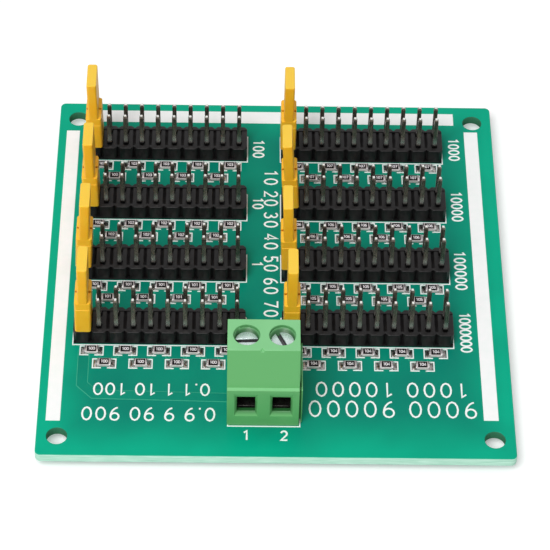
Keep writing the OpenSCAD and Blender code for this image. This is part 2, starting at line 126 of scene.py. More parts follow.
def place_of(finish):
    """Where each point of a piece lies: its X, Y and Z, in metres."""
    return add(finish, "SeparateXYZ", Vector=add(finish, "TexCoord").outputs["Object"]).outputs


def facing_of(finish):
    """How far each face looks up: 1 up, 0 sideways and -1 down."""
    return add(finish, "SeparateXYZ", Vector=add(finish, "TexCoord").outputs["Normal"]).outputs[2]


def blend_colours(finish, amount, *colours, start=0.3, end=0.7):
    """Runs through the colours in even steps as the amount goes from start to end."""
    ramp = add(finish, "ValToRGB", Fac=amount)
    spots = ramp.color_ramp.elements
    for _ in colours[2:]:
        spots.new(0.5)
    for spot, place, colour in zip(spots, np.linspace(start, end, len(colours)), colours):
        spot.position = place
        spot.color = shade(colour)
    return ramp.outputs[0]


def reckon(finish, operation, *values):
    """Result of a Math node that works on one or two values."""
    node = add(finish, "Math", {"operation": operation})
    for socket, value in zip(node.inputs, values):
        feed(finish, socket, value)
    return node.outputs[0]


def spread(finish, amount, low, high, start=0.3, end=0.7):
    """Turns an amount between start and end into a value from low to high."""
    node = add(finish, "MapRange", Value=amount, From_Min=start, From_Max=end, To_Min=low, To_Max=high)
    return node.outputs[0]


def climb(finish, length, start, end, low=0, high=1):
    """Goes from low to high while a length goes from start to end, in millimetres."""
    return spread(finish, length, low, high, start * MM, end * MM)


def aside(finish, part, middle):
    """How far each point lies from a middle, in millimetres, along one axis."""
    return reckon(finish, "ABSOLUTE", reckon(finish, "SUBTRACT", part, middle * MM))


def mix_colours(finish, amount, first, second):
    """First colour where the amount is 0, second where it is 1."""
    node = add(finish, "Mix", {"data_type": "RGBA"})
    feed(finish, node.inputs[0], amount)
    feed(finish, node.inputs[6], first)
    feed(finish, node.inputs[7], second)
    return node.outputs[2]


def emboss(finish, shader, height, depth):
    """Raises the surface by the height, 0 to 1, times a depth in millimetres."""
    bump = add(finish, "Bump", Height=height, Distance=depth * MM)
    feed(finish, shader.inputs["Normal"], bump.outputs[0])


def place_piece(name, mesh, finish, body, stands_for, crease):
    """Finishes a mesh as a piece on a body: smooth where its faces meet flatter than the crease, with flat
    faces kept flat up to their edges."""
    mesh.materials.clear()
    mesh.materials.append(finish)
    mesh.shade_smooth()
    mesh.set_sharp_from_angle(angle=math.radians(crease))
    piece = bpy.data.objects.new(name, mesh)
    bpy.context.scene.collection.objects.link(piece)
    piece.modifiers.new("flat_faces", "WEIGHTED_NORMAL").keep_sharp = True
    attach(piece, body)
    if stands_for:
        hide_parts(*stands_for)
    return piece


def softened(node, name, round_mm, finish, body, where=None, mend=None, crease=50):
    """A copy of a solid, merged, its flat faces joined, mended by a function, and its edges rounded by the
    radius round_mm, all of them or only those whose middle, in millimetres, passes the test where."""
    solid = bmesh.new()
    solid.from_mesh(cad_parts[node].data)
    bmesh.ops.remove_doubles(solid, verts=solid.verts, dist=1e-7)
    bmesh.ops.dissolve_limit(solid, angle_limit=math.radians(FLAT_DEG), verts=solid.verts, edges=solid.edges)
    if mend:
        mend(solid)
    edges = [edge for edge in solid.edges
             if edge.calc_face_angle(0) > math.radians(SHARP_DEG)
             and (where is None or where((edge.verts[0].co + edge.verts[1].co) / 2 / MM))]
    bmesh.ops.bevel(solid, geom=edges, offset=round_mm * MM, segments=2, profile=0.5, affect="EDGES",
                    clamp_overlap=False)
    mesh = bpy.data.meshes.new(name)
    solid.to_mesh(mesh)
    solid.free()
    return place_piece(name, mesh, finish, body, [node], crease)


board_low, board_high = box_mm("circuit_board")
TOP = board_high[2]
board_middle = (board_high + board_low) / 2
board_half = (board_high - board_low) / 2
green_mask, shader = new_finish("green_mask", 0.3, specular=0.08)
on_face = reckon(green_mask, "GREATER_THAN", reckon(green_mask, "ABSOLUTE", facing_of(green_mask)), 0.5)
# Painted light and shade: the mask is painted lightest along the board's outline and darker towards the
# middle, standing in for the shade cast by the tall parts, with soft random patches on top.
from_edge = reckon(green_mask, "MINIMUM", *[
    reckon(green_mask, "SUBTRACT", half * MM, aside(green_mask, part, middle))
    for part, middle, half in zip(place_of(green_mask)[:2], board_middle, board_half)])
shade_in = climb(green_mask, from_edge, LIT_RIM, FULL_SHADE_IN, 0, 0.8)
shade_in = reckon(green_mask, "ADD", shade_in, spread(green_mask, cloud(green_mask, 9), -0.06, 0.2))
coated = blend_colours(green_mask, shade_in, MASK_LIT_EDGE, MASK_HALF_SHADE, MASK_SHADED_GREEN, start=0, end=1)
layers = cloud(green_mask, 0.35, stretch=(8, 8, 0.35))
sawn = blend_colours(green_mask, layers, LAMINATE_DARK, LAMINATE_PALE)
at_outline = reckon(green_mask, "LESS_THAN", from_edge, SAWN_IN * MM)
walls = mix_colours(green_mask, at_outline, shade(HOLE_GREEN), sawn)
feed(green_mask, shader.inputs["Base Color"], mix_colours(green_mask, on_face, walls, coated))
feed(green_mask, shader.inputs["Roughness"], spread(green_mask, on_face, 0.75, 0.3, 0, 1))
emboss(green_mask, shader, cloud(green_mask, 0.6), 0.004)


def outer_edge(middle):
    """True on the board's outline and its four mounting holes, and nowhere near the pins."""
    return abs(middle.x) > OUTER_X or abs(middle.y) > OUTER_Y


softened("circuit_board", "board", BOARD_ROUND, green_mask, "board", where=outer_edge)

# Copper tracks: foil etched to shape under the solder mask, so they show as faint raised bands, their edges
# with a painted highlight. They join each pin to its chip, and the terminal to the banks; below the board
# they link the pins.
DECADES = ["0r1", "1r", "10r", "100r", "1meg", "100k", "10k", "1k"]
TRACK_GREEN = (12, 144, 117)
TRACK_EDGE_HIGHLIGHT = (62, 168, 136)
FOIL = 0.02
TRACK_W = 0.5
WIDE_TRACK_W = 1.75
TRACK_SLOPE = 0.13
FIRST_PITCH = dict(zip(DECADES, (4.98, 4.98, 5.08, 5.03, 5.03, 5.03, 5.08, 5.08)))
SECOND_PITCH = 5.34
CHIP_Y = -3.885
SECOND_CHIP_Y = -6.335
PAD_X = 1.15
PITCH = 2.54
COLUMNS = 10
LAST_BANKS = ("100r", "1k")
TRACK_SUNK = 0.005
TAIL_Y = -22.3
TAIL_BEND = 3
BEND_START = 1.1
BEND_END = 1.4
LEFT_TRACK = [(-28.35, -16.2), (-28.35, -22.65), (-26.5, -24.55), (-7, -24.95)]


def loft(rings, joined=False):
    """A skin over rings with equal numbers of points: each quad joins two neighbours of a ring to the same
    two of the next. The ends are closed with flat faces, or the last ring joins the first."""
    rings = np.asarray(rings, float)
    index = np.arange(rings.shape[0] * rings.shape[1]).reshape(rings.shape[:2])
    stack = np.vstack([index, index[:1]]) if joined else index
    quads = np.stack([stack[:-1], np.roll(stack[:-1], -1, 1), np.roll(stack[1:], -1, 1), stack[1:]], -1)
    faces = quads.reshape(-1, 4).tolist()
    if not joined:
        faces += [index[0, ::-1].tolist(), index[-1].tolist()]
    return rings.reshape(-1, 3), faces


def gather(parts):
    """Several shapes as one list of points and one of faces."""
    parts = list(parts)
    starts = np.cumsum([0] + [len(points) for points, _ in parts]).tolist()
    faces = [[corner + start for corner in face] for (_, own), start in zip(parts, starts) for face in own]
    return np.concatenate([points for points, _ in parts]), faces


def repeated(part, places):
    """The same shape at many places."""
    return gather((part[0] + place, part[1]) for place in places)


def make(name, part, finish, body, slot, *stands_for, crease=40):
    """Makes a piece from points in millimetres and their faces."""
    mesh = bpy.data.meshes.new(name)
    mesh.from_pydata((part[0] * MM).tolist(), [], part[1])
    return place_piece(name, mesh, finish, body, stands_for, crease)


def ribbon(path, width, low, high, loop=False, shave=0.03):
    """A flat bar carried along a path in plan. At each point a trapezium stands square to the mitre of the
    two stretches that meet there, widened so that both keep their width, but to 1.7 times at most. Shave
    draws in its upper side."""
    path = np.asarray(path, float)
    ahead = np.roll(path, -1, 0) - path
    behind = path - np.roll(path, 1, 0)
    if not loop:
        ahead[-1], behind[0] = behind[-1], ahead[0]
    ahead /= np.linalg.norm(ahead, axis=1, keepdims=True)
    behind /= np.linalg.norm(behind, axis=1, keepdims=True)
    left = np.stack([-ahead[:, 1], ahead[:, 0]], 1)
    mitre = left + np.stack([-behind[:, 1], behind[:, 0]], 1)
    mitre /= np.linalg.norm(mitre, axis=1, keepdims=True)
    mitre /= np.maximum((mitre * left).sum(1, keepdims=True), 0.6)
    side = np.array([-1, 1, 1, -1]) * width / 2 - np.array([0, 0, 1, -1]) * shave
    rings = np.empty((len(path), 4, 3))
    rings[:, :, :2] = path[:, None] + mitre[:, None] * side[:, None]
    rings[:, :, 2] = [low, low, high, high]
    return loft(rings if high > low else rings[:, ::-1], loop)


def middle_of(node):
    """Middle of a solid in plan, in millimetres."""
    low, high = box_mm(node)
    return (low + high)[:2] / 2


def chip_spots(decade):
    """Middles of a decade's chips from its header's middle: five in the near row, four in the next, each
    row evenly spaced about the middle."""
    return ([((i - 2) * FIRST_PITCH[decade], CHIP_Y) for i in range(5)]
            + [((i - 1.5) * SECOND_PITCH, SECOND_CHIP_Y) for i in range(4)])


header_middles = {decade: middle_of("header_" + decade) for decade in DECADES}
last_pin = (COLUMNS - 1) / 2 * PITCH
tracks, under_tracks = [], []
for decade, middle in header_middles.items():
    spots = chip_spots(decade)
    for i in range(5):
        for side in (-1, 1):
            pin = middle + [(i - 2) * 2 * PITCH + side * PITCH / 2, -PITCH / 2]
            tracks.append(([pin, middle + spots[i] + [side * PAD_X, 0]], TRACK_W))
    for i, (x, _) in enumerate(spots[5:]):
        for side, near in ((-1, spots[i][0] + PAD_X), (1, spots[i + 1][0] - PAD_X)):
            bend = x + side * PAD_X
            tracks.append(([middle + [near, CHIP_Y], middle + [near, CHIP_Y - BEND_START],
                            middle + [bend, CHIP_Y - BEND_END], middle + [bend, SECOND_CHIP_Y]], TRACK_W))
    under_tracks.append(([middle + [-last_pin, PITCH / 2], middle + [last_pin, PITCH / 2]], TRACK_W))
    if decade not in LAST_BANKS:
        link = middle + [last_pin, PITCH / 2]
        under_tracks.append(([link, link + [0, 4 * PITCH]], WIDE_TRACK_W))
for pole, decade, side in (("1", "0r1", 1), ("2", "1meg", -1)):
    tail = [middle_of("terminal_contact_" + pole)[0], TAIL_Y]
    pin = header_middles[decade] + [side * last_pin, -PITCH / 2]
    under_tracks.append(([tail, [tail[0], pin[1] - TAIL_BEND], pin], WIDE_TRACK_W))
tracks.append((LEFT_TRACK, WIDE_TRACK_W))
track_mask, shader = new_finish("mask_over_copper", 0.3, specular=0.08)
# Painted highlight: the tracks' sloped edges are painted pale; the flat tops drift between the track green
# and the mask's painted-shade green.
flat_top = reckon(track_mask, "GREATER_THAN", reckon(track_mask, "ABSOLUTE", facing_of(track_mask)), 0.995)
feed(track_mask, shader.inputs["Base Color"], mix_colours(
    track_mask, flat_top, shade(TRACK_EDGE_HIGHLIGHT),
    blend_colours(track_mask, cloud(track_mask, 9), MASK_SHADED_GREEN, TRACK_GREEN)))
emboss(track_mask, shader, cloud(track_mask, 0.6), 0.004)
track_parts = [ribbon(path, width, TOP - TRACK_SUNK, TOP + FOIL, shave=TRACK_SLOPE)
               for path, width in tracks]
track_parts += [ribbon(path, width, TRACK_SUNK, -FOIL, shave=TRACK_SLOPE) for path, width in under_tracks]
make("copper_tracks", gather(track_parts), track_mask, "board", "board_laminate", crease=5)

# White print: epoxy ink screened on the mask, a few hundredths of a millimetre thick. Three broad bars, a
# frame round each header and the terminal, brackets round the chips, and plain numbers.
INK_WHITE = (255, 255, 255)
INK_SHADE = (249, 253, 251)
INK = 0.045
INK_SUNK = 0.02
LIFT = 0.003
BARS = [((-32.21, -29.54), (-32.21, 29.49), 2.1), ((31.14, -28.79), (31.14, 30.07), 2.18),
        ((-28.5, 32.9), (28.5, 32.9), 2.6)]
HEADER_FRAME = (12.8, 2.77)
TERMINAL_FRAME = ((-1.8, -25.31), 5.2, 4.92)
BRACKET = (1.7, 0.85)
BRACKET_GAP = 0.44
FRAME_PEN = 0.2
FIGURE_PEN = 0.3


def bow(x, y, wide, high, start, end, steps):
    """Points on an ellipse about x, y, from one angle to another in degrees."""
    turn = np.radians(np.linspace(start, end, steps + 1))
    return np.stack([x + wide * np.cos(turn), y + high * np.sin(turn)], 1)


def figure(mark, steps):
    """Pen strokes of one figure, 0.6 wide and 1 high: each is a path, and whether it closes on itself."""
    def ring(x, y, wide, high):
        return bow(x, y, wide, high, 0, 360, 2 * steps)[:-1], True
    six = [ring(0.3, 0.29, 0.24, 0.26), (bow(0.54, 0.29, 0.48, 0.67, 100, 180, steps), False)]
    two = np.vstack([bow(0.3, 0.7, 0.24, 0.26, 165, -35, steps), [(0.07, 0.05), (0.57, 0.05)]])
    shapes = {
        "0": [ring(0.3, 0.5, 0.26, 0.46)],
        "1": [([(0.14, 0.78), (0.36, 0.95), (0.36, 0.04)], False)],
        "2": [(two, False)],
        "3": [(bow(0.27, 0.74, 0.22, 0.22, 155, -90, steps), False),
              (bow(0.27, 0.28, 0.26, 0.24, 90, -155, steps), False)],
        "4": [([(0.44, 0.04), (0.44, 0.95), (0.05, 0.3), (0.59, 0.3)], False)],
        "5": [([(0.52, 0.95), (0.14, 0.95), (0.11, 0.55)], False),
              (bow(0.28, 0.32, 0.26, 0.29, 130, -150, steps), False)],
        "6": six,
        "7": [([(0.05, 0.95), (0.56, 0.95), (0.24, 0.04)], False)],
        "8": [ring(0.3, 0.74, 0.2, 0.21), ring(0.3, 0.28, 0.25, 0.25)],
        "9": [(np.array([0.6, 1]) - path, loop) for path, loop in six],
        ".": [([(0.3, 0.02), (0.3, 0.14)], False)],
        " ": [],
    }
    return [(np.asarray(path, float), loop) for path, loop in shapes[mark]]


def number(marks, middle, size, turn, pen, pace, low, high, steps=6):
    """Ribbons along the strokes of a row of figures about a middle point: size is their height, pace their
    distance as a share of it, less than half of that for a gap or a point, and turn the way the row runs,
    in degrees from +X. Each stroke of a figure lies a little above the one before."""
    run = np.array([math.cos(math.radians(turn)), math.sin(math.radians(turn))])
    rise = np.array([-run[1], run[0]])
    wide = np.array([0.45 if mark in " ." else 1 for mark in marks])
    starts = (np.cumsum(wide) - wide / 2 - wide.sum() / 2) * pace
    parts = []
    for mark, start in zip(marks, starts):
        for k, (path, loop) in enumerate(figure(mark, steps)):
            local = (path + [start - 0.3, -0.5]) * size
            stroke = middle + local[:, :1] * run + local[:, 1:] * rise
            parts.append(ribbon(stroke, pen, low, high + k * LIFT, loop))
    return parts


def oblong(middle, half_w, half_d):
    """Corners of a rectangle about a middle point, counterclockwise."""
    return np.asarray(middle) + np.array([(-1, -1), (1, -1), (1, 1), (-1, 1)]) * [half_w, half_d]


def mottle(finish, shader, size, *shades):
    """Colours a finish in soft patches, about size millimetres wide, that go from one shade to the next."""
    feed(finish, shader.inputs["Base Color"], blend_colours(finish, cloud(finish, size), *shades))


ink_low, ink_high = TOP - INK_SUNK, TOP + INK
print_parts = [ribbon([start, end], width, ink_low, ink_high) for start, end, width in BARS]
bracket_x, bracket_y = BRACKET
bracket = np.array([(-BRACKET_GAP, -bracket_y), (-bracket_x, -bracket_y), (-bracket_x, bracket_y),
                    (-BRACKET_GAP, bracket_y)])
for decade, middle in header_middles.items():
    print_parts.append(ribbon(oblong(middle, *HEADER_FRAME), FRAME_PEN, ink_low, ink_high, True))
    for spot in chip_spots(decade):
        for side in (1, -1):
            print_parts.append(ribbon(middle + spot + bracket * side, FRAME_PEN, ink_low, ink_high))
print_parts.append(ribbon(oblong(*TERMINAL_FRAME), FRAME_PEN, ink_low, ink_high + LIFT, True))
NUMBERS = [
    ("1", (-4.34, -31.9), 1.8, 0, 0.8), ("2", (1.12, -31.9), 1.8, 0, 0.8),
    ("0.1", (-2.75, -11.7), 1.75, -90, 0.78), ("1", (-2.85, 1.3), 1.7, -90, 0.78),
    ("10", (-2.75, 14.0), 1.7, -90, 0.78), ("100", (-2.7, 25.9), 1.8, -90, 0.78),
    ("1000000", (28.25, -12.0), 1.7, -90, 0.66), ("100000", (28.1, 0.4), 1.8, -90, 0.75),
    ("10000", (28.2, 13.8), 1.75, -90, 0.75), ("1000", (28.3, 26.2), 1.7, -90, 0.75),
    ("10 20 30 40 50 60 70", (-0.74, 5.95), 2.18, -90, 0.854),
    ("0.1 1 10 100", (-18.15, -23.55), 2.3, 180, 0.77), ("0.9 9 90 900", (-18.48, -28.15), 2.5, 180, 0.81),
    ("1000 10000", (16.95, -23.2), 2.8, 180, 0.873), ("9000 90000", (16.95, -26.85), 3.1, 180, 0.864),
]
for marks, middle, size, turn, pace in NUMBERS:
    print_parts += number(marks, middle, size, turn, FIGURE_PEN, pace, ink_low, ink_high)
white_ink, shader = new_finish("white_ink", 0.55, specular=0.2)
mottle(white_ink, shader, 1.5, INK_SHADE, INK_WHITE)
emboss(white_ink, shader, cloud(white_ink, 0.12), 0.003)
make("white_print", gather(print_parts), white_ink, "board", "board_laminate")

# Chip resistors: white alumina tiles, 2 by 1.25 mm, with a dark glazed film on top that carries a pale
# code, and a metal end wrapped round each short side.
CHIP_H = 0.55
CERAMIC = ((-0.95, -0.625, 0.04), (0.95, 0.625, 0.51))
FILM = ((-0.7, -0.56, 0.48), (0.7, 0.56, CHIP_H))
METAL_END = ((0.76, -0.635, 0), (1.0, 0.635, CHIP_H))
CODE_H = 0.58
CODE_PEN = 0.14
CODE_PACE = 0.6
CODE_SUNK = 0.01
CODE_PROUD = 0.008
ALUMINA = (234, 224, 224)
ALUMINA_SHADE = (210, 200, 200)
FILM_DARK = (14, 12, 14)
FILM_BROWN = (26, 22, 24)
CODE_PALE = (250, 246, 248)
CODE_SHADE = (230, 224, 228)
END_GREY = (230, 226, 228)
END_DULL = (160, 155, 157)


def block(low, high, edge):
    """A brick with bevelled edges, as four rings of eight points: the first and last are drawn in by the
    bevel."""
    low, high = np.array(low, float), np.array(high, float)
    rings = []
    for inset, z in ((edge, low[2]), (0, low[2] + edge), (0, high[2] - edge), (edge, high[2])):
        x0, y0 = low[:2] + inset
        x1, y1 = high[:2] - inset
        rings.append([(x0 + edge, y0, z), (x1 - edge, y0, z), (x1, y0 + edge, z), (x1, y1 - edge, z),
                      (x1 - edge, y1, z), (x0 + edge, y1, z), (x0, y1 - edge, z), (x0, y0 + edge, z)])
    return loft(rings)


def wear(finish, shader, size, low, high, stretch=(1, 1, 1)):
    """Lets the roughness wander from low to high in patches about size millimetres wide."""
    patches = cloud(finish, size, stretch=stretch)
    feed(finish, shader.inputs["Roughness"], spread(finish, patches, low, high))


alumina, shader = new_finish("alumina", 0.5)
mottle(alumina, shader, 0.3, ALUMINA_SHADE, ALUMINA)
glazed_film, shader = new_finish("glazed_film", 0.4, specular=0.12)
mottle(glazed_film, shader, 0.5, FILM_DARK, FILM_BROWN)
emboss(glazed_film, shader, cloud(glazed_film, 0.15), 0.004)
code_ink, shader = new_finish("code_ink", 0.6)
mottle(code_ink, shader, 0.1, CODE_SHADE, CODE_PALE)
tinned, shader = new_finish("tinned_ends", 0.42, metallic=1.0)
mottle(tinned, shader, 0.25, END_DULL, END_GREY)
wear(tinned, shader, 0.15, 0.34, 0.5)
emboss(tinned, shader, cloud(tinned, 0.1), 0.003)

ceramic = block(*CERAMIC, 0.03)
film = block(*FILM, 0.035)
metal_end = block(*METAL_END, 0.05)
both_ends = gather([metal_end, (metal_end[0] * [-1, -1, 1], metal_end[1])])
chip_codes, chip_places = [], []
for k, (decade, middle) in enumerate(header_middles.items()):
    spots = [(*(middle + spot), TOP) for spot in chip_spots(decade)]
    chip_places += spots
    make("chip_tiles_" + decade, repeated(ceramic, spots), alumina, "board", "chip_body",
         "resistors_" + decade)
    make("chip_films_" + decade, repeated(film, spots), glazed_film, "board", "chip_body")
    make("chip_ends_" + decade, repeated(both_ends, spots), tinned, "board", "chip_end",
         "resistor_ends_" + decade)
    for x, y, z in spots:
        chip_codes += number("10" + str(k), (x, y), CODE_H, 0, CODE_PEN, CODE_PACE, z + CHIP_H - CODE_SUNK,
                             z + CHIP_H + CODE_PROUD, 3)
make("chip_codes", gather(chip_codes), code_ink, "board", "chip_body")

# Solder on the chips' ends: paste melted on the copper pads. It wets the metal, climbs up each end and sets
# as a bright hollow fillet.
PAD = ((0.66, -0.7, 0), (1.56, 0.7, 0.045))
FILLET_START = 0.96
FILLET_L = 0.56
FILLET_TOP = 0.47
SOLDER_BRIGHT = (196, 192, 188)
SOLDER_DULL = (104, 101, 99)


def fillet():
    """Solder at a chip's end: the height falls along x as 1 minus the sine of a quarter turn, and across y
    each ring is a low arch."""
    run = np.linspace(0, 1, 7)[:, None]
    height = 0.03 + (FILLET_TOP - 0.03) * (1 - np.sin(run * math.pi / 2)) ** 1.1
    half = 0.6 + 0.06 * run
    side = np.array([-1, 1, 0.92, 0.6, 0, -0.6, -0.92])
    arch = np.array([0, 0, 0.55, 0.92, 1, 0.92, 0.55])
    rings = np.empty((7, 7, 3))
    rings[:, :, 0] = FILLET_START + FILLET_L * run
    rings[:, :, 1] = half * side
    rings[:, :, 2] = 0.02 + height * arch
    return loft(rings)


solder, shader = new_finish("bright_solder", 0.25, metallic=1.0)
mottle(solder, shader, 0.4, SOLDER_DULL, SOLDER_BRIGHT)
wear(solder, shader, 0.3, 0.18, 0.38)
emboss(solder, shader, cloud(solder, 0.35), 0.03)
solder_end = gather([block(*PAD, 0.02), fillet()])
solder_ends = gather([solder_end, (solder_end[0] * [-1, -1, 1], solder_end[1])])
make("chip_solder", repeated(solder_ends, chip_places), solder, "board", "solder", "resistor_solder")

# Header mouldings: black glass-filled nylon strips of ten cells in two rows, with break-off notches between
# the cells and a shallow trough along the top. The pins are pressed through them.
CELL_BEVEL = 0.45
BASE_H = 0.3
RIM_D = 0.8
TROUGH_H = 0.1
GROOVE_HALF = 0.27
GROOVE_H = 0.26
CHANNEL_HALF = 0.35
CHANNEL_H = 0.25
TOP_ROUND = 0.12
END_ROUND = 0.07
SINK_H = 0.28
SINK_IN = 0.41
SINK_OUT = 0.45
THIN = 0.01
NYLON_BLACK = (11, 10, 11)
NYLON_BROWN = (22, 19, 20)


def header_moulding(middle, low_z, high_z):
    """Rings square to X at stations along the strip. Above a straight base the half depth is cut back by 45
    degrees near each end of a cell. The top has a quarter round along its front and back and a trough
    between two rims, which is deeper in the V-shaped grooves between the cells and round the pins."""
    cell = np.array([0, GROOVE_HALF, CELL_BEVEL, PITCH / 2 - SINK_OUT, PITCH / 2 - SINK_IN, PITCH / 2,
                     PITCH / 2 + SINK_IN, PITCH / 2 + SINK_OUT, PITCH - CELL_BEVEL, PITCH - GROOVE_HALF])
    long = COLUMNS * PITCH
    x = np.concatenate([(np.arange(COLUMNS)[:, None] * PITCH + cell).ravel(), [long]])
    x = np.sort(np.concatenate([x, [0.03, END_ROUND, long - END_ROUND, long - 0.03]]))
    near = x % PITCH
    near = np.minimum(near, PITCH - near)
    end = np.maximum(END_ROUND - np.minimum(x, long - x), 0)
    base = (PITCH - end)[:, None]
    half = (PITCH - THIN - np.maximum(CELL_BEVEL - near, 0) - end)[:, None]
    height = (high_z - low_z - end)[:, None]
    inside = (x > PITCH / 2) & (x < long - PITCH / 2)
    groove = (GROOVE_H * inside * np.maximum(1 - near / GROOVE_HALF, 0))[:, None]
    rim_y = PITCH - RIM_D + THIN * np.array([1, -1])
    pin_y = PITCH / 2 + np.array([SINK_OUT, SINK_IN, -SINK_IN, -SINK_OUT])
    off_x = np.abs(near - PITCH / 2)[:, None]
    off_y = np.abs(pin_y - PITCH / 2)[None]
    sink = SINK_H * np.clip((SINK_OUT - np.maximum(off_x, off_y)) / (SINK_OUT - SINK_IN), 0, 1)
    quarter = np.radians([90, 60, 30, 0])
    bend = half - TOP_ROUND * (1 - np.sin(quarter))
    rise = height - TOP_ROUND * (1 - np.cos(quarter))
    one = np.ones_like(base)
    trough = height - TROUGH_H - groove
    back_y = np.hstack([base, base, half, bend, one * rim_y, one * pin_y])
    back_z = np.hstack([0 * one, BASE_H * one, BASE_H * one, rise, height, trough, trough - sink])
    under_y = CHANNEL_HALF * np.array([-1, -1, 1, 1])
    under_z = CHANNEL_H * np.array([0, 1, 1, 0])
    y = np.hstack([one * under_y, back_y, -back_y[:, ::-1]])
    z = np.hstack([one * under_z, back_z, back_z[:, ::-1]])
    along = (x - long / 2 + middle[0])[:, None]
    return loft(np.stack([np.broadcast_to(along, y.shape), y + middle[1], z + low_z], -1))


nylon, shader = new_finish("black_nylon", 0.42, specular=0.3)
mottle(nylon, shader, 2.5, NYLON_BLACK, NYLON_BROWN)
wear(nylon, shader, 0.5, 0.32, 0.45)
emboss(nylon, shader, cloud(nylon, 0.12, 3), 0.006)
for decade, middle in header_middles.items():
    low, high = box_mm("header_" + decade)
    make("moulding_" + decade, header_moulding(middle, low[2], high[2]), nylon, "board", "header_plastic",
         "header_" + decade, crease=35)

# Pins: square brass wire, 0.64 mm, tin-plated, its ends swaged to blunt bevelled tips. Twenty stand in each
# header, and their lower ends are soldered under the board.
PIN_HALF = 0.32
TIP_HALF = 0.16
TIP_H = 0.4
STREAK_H = 2.2
GRAIN = (1, 1, 6)
TIN_GLINT = (240, 238, 234)
TIN_DULL = (128, 119, 108)
TIN_SHADE = (92, 85, 78)
FOOT_SHADE = (30, 28, 29)


def square_ring(half, cut, z):
    """Eight points of a square with its corners cut off, counterclockwise."""
    near = half - cut
    return [(-near, -half, z), (near, -half, z), (half, -near, z), (half, near, z),
            (near, half, z), (-near, half, z), (-half, near, z), (-half, -near, z)]


pin_low, pin_high = (corner[2] for corner in box_mm("pins_0r1"))
pin = loft([square_ring(TIP_HALF, 0.03, pin_low), square_ring(PIN_HALF, 0.04, pin_low + TIP_H),
            square_ring(PIN_HALF, 0.04, pin_high - TIP_H), square_ring(TIP_HALF, 0.03, pin_high)])
pin_spots = [(i * PITCH - last_pin, side * PITCH / 2) for i in range(COLUMNS) for side in (-1, 1)]
header_top = box_mm("header_0r1")[1][2]
tin, shader = new_finish("tin_plate", 0.25, metallic=0.75)
height = place_of(tin)[2]
# Painted glint: the top of each tip is painted near white.
tip_glint = climb(tin, height, pin_high - 0.16, pin_high - 0.04)
# Painted highlight: a pale streak is painted up the shaft, strongest just above the header top and fading
# out higher up; it marks the terminal's contact bars too at these heights.
painted_streak = reckon(tin, "MULTIPLY", climb(tin, height, header_top, header_top + STREAK_H, 0.6, 0),
               climb(tin, height, header_top + 0.1, header_top + 0.5))
# Painted shade: near black from just under the header top to just above it, at each pin's foot, and on the
# contact bars at that height.
foot_shade = reckon(tin, "MULTIPLY", climb(tin, height, header_top + 0.3, header_top + 0.75, 1, 0),
                 climb(tin, height, header_top - 0.5, header_top - 0.4))
shaft = blend_colours(tin, cloud(tin, 0.3, stretch=GRAIN), TIN_SHADE, TIN_DULL)
shaft = mix_colours(tin, reckon(tin, "MAXIMUM", tip_glint, painted_streak), shaft, shade(TIN_GLINT))
feed(tin, shader.inputs["Base Color"], mix_colours(tin, foot_shade, shaft, shade(FOOT_SHADE)))
wear(tin, shader, 0.3, 0.2, 0.32, GRAIN)
for decade, middle in header_middles.items():
    make("pin_rows_" + decade, repeated(pin, [(*(middle + spot), 0) for spot in pin_spots]), tin, "board",
         "pin_metal", "pins_" + decade, crease=20)

# Solder under the board: every pin and every tail of the terminal is wave-soldered, which leaves a hollow
# cone from the round pad down to the metal.
POLES = ("1", "2")
PIN_CONE = (0.78, 0.49)
TAIL_CONE = (0.93, 0.6)
CONE_H = 0.9
CONE_SIDES = 12


def solder_cone(foot, neck):
    """A cone hanging from the board: the radius falls from foot to neck with the power 2.4 of the way."""
    way = np.array([0, 0.25, 0.5, 0.7, 0.85, 0.95, 1])[:, None]
    turn = 2 * math.pi * np.arange(CONE_SIDES) / CONE_SIDES
    radius = neck + (foot - neck) * way ** 2.4
    return loft(np.stack([radius * np.cos(turn), radius * np.sin(turn),
                          CONE_H * (way - 1) * np.ones(CONE_SIDES)], -1))


pin_feet = [(*(middle + spot), 0) for middle in header_middles.values() for spot in pin_spots]
tail_feet = [(middle_of("terminal_contact_" + pole)[0], TAIL_Y, 0) for pole in POLES]
cones = gather([repeated(solder_cone(*PIN_CONE), pin_feet), repeated(solder_cone(*TAIL_CONE), tail_feet)])
make("solder_cones", cones, solder, "board", "solder", "pin_solder", crease=60)

# Screw terminal: a light green nylon housing for two wires, with painted shade on its upright faces and deep
# painted shade down in its wells and funnels. In each pole a steel screw lifts a nickel-plated clamp cage,
# which presses the wire up against a tinned bar whose tail goes through the board.
HOUSING_GREEN = (136, 206, 143)
HOUSING_SHADE = (128, 199, 136)
HOUSING_SHADED_SIDE = (98, 174, 104)
HOUSING_DEEP_SHADE = (36, 92, 44)
ZINC_SHADE = (196, 212, 211)
ZINC_BRIGHT = (220, 234, 231)
SLOT_SHADE = (104, 102, 106)
NICKEL_DARK = (50, 48, 46)
NICKEL_GREY = (70, 68, 65)
TONGUE_H = 7.6
ROUND = 0.09
SCREW_ROUND = 0.08
METAL_ROUND = 0.06
WELL_R = 1.83
WELL_RIM = 1.9
FUNNEL_H = 5
FUNNELS_HALF = 4.8


def from_spot(finish, place, spot):
    """How far each point lies in plan from a spot in millimetres: the root of the two squares' sum."""
    squares = [reckon(finish, "POWER", reckon(finish, "SUBTRACT", part, middle * MM), 2)
               for part, middle in zip(place[:2], spot)]
    return reckon(finish, "SQRT", reckon(finish, "ADD", *squares))


screw_middles = [middle_of("terminal_screw_" + pole) for pole in POLES]
housing_low, housing_high = box_mm("terminal_housing")
housing_front, housing_top = housing_low[1], housing_high[2]
green_nylon, shader = new_finish("green_nylon", 0.36, specular=0.4)
place = place_of(green_nylon)
